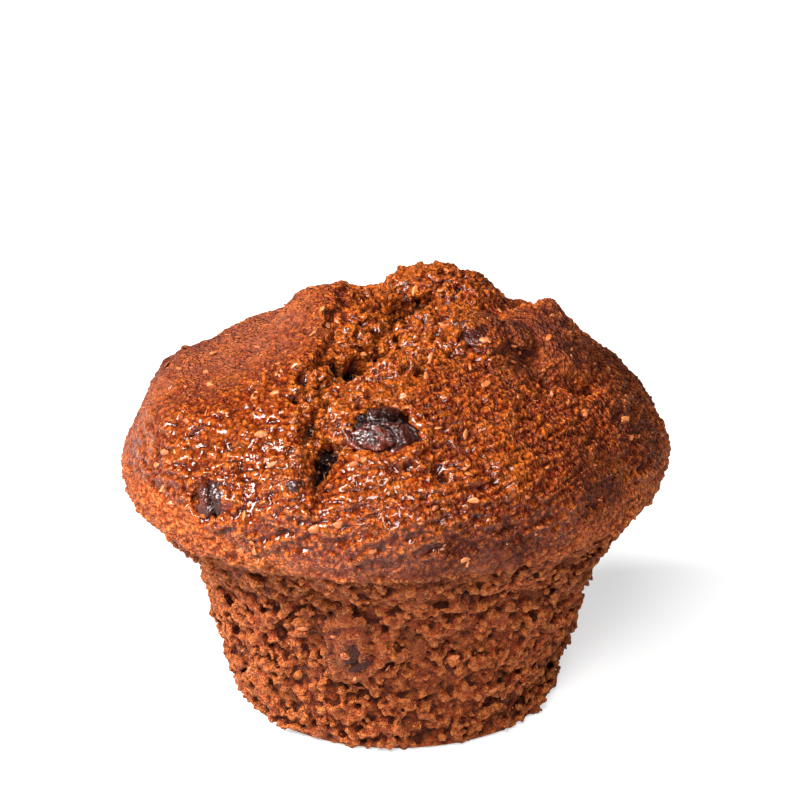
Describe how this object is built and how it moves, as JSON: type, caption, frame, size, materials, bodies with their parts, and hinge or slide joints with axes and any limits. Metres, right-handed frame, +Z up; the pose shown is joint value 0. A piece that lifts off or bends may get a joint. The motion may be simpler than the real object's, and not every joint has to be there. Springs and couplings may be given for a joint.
{
  "type": "raisin muffin",
  "caption": "Raisin bran muffin without a paper case: tapered crumb cup under a wide, cracked, glossy crown with raisins set in it.",
  "frame": {"origin": "middle of the bounding box's underside, where the flat base rests", "axes": "+Z up through the crown; the front, with the large raisin and the open crack, faces -Y; +X to the right"},
  "size_m": [0.0956, 0.0942, 0.0764],
  "materials": {
    "baked_crumb": "baked bran crumb, browned and slightly glossy on the crown, open and matte on the cup",
    "raisin_skin": "dark wrinkled skin, moist and glossy"
  },
  "bodies": {
    "root": {"muffin": "baked_crumb", "raisin_front": "raisin_skin", "raisin_rim": "raisin_skin", "raisin_crack_end": "raisin_skin", "raisin_top": "raisin_skin", "raisin_knob": "raisin_skin", "raisin_wall_front": "raisin_skin", "raisin_wall_right": "raisin_skin", "raisin_wall_back": "raisin_skin", "raisin_back": "raisin_skin", "raisin_back_left": "raisin_skin", "raisin_back_right": "raisin_skin"}
  },
  "joints": []
}
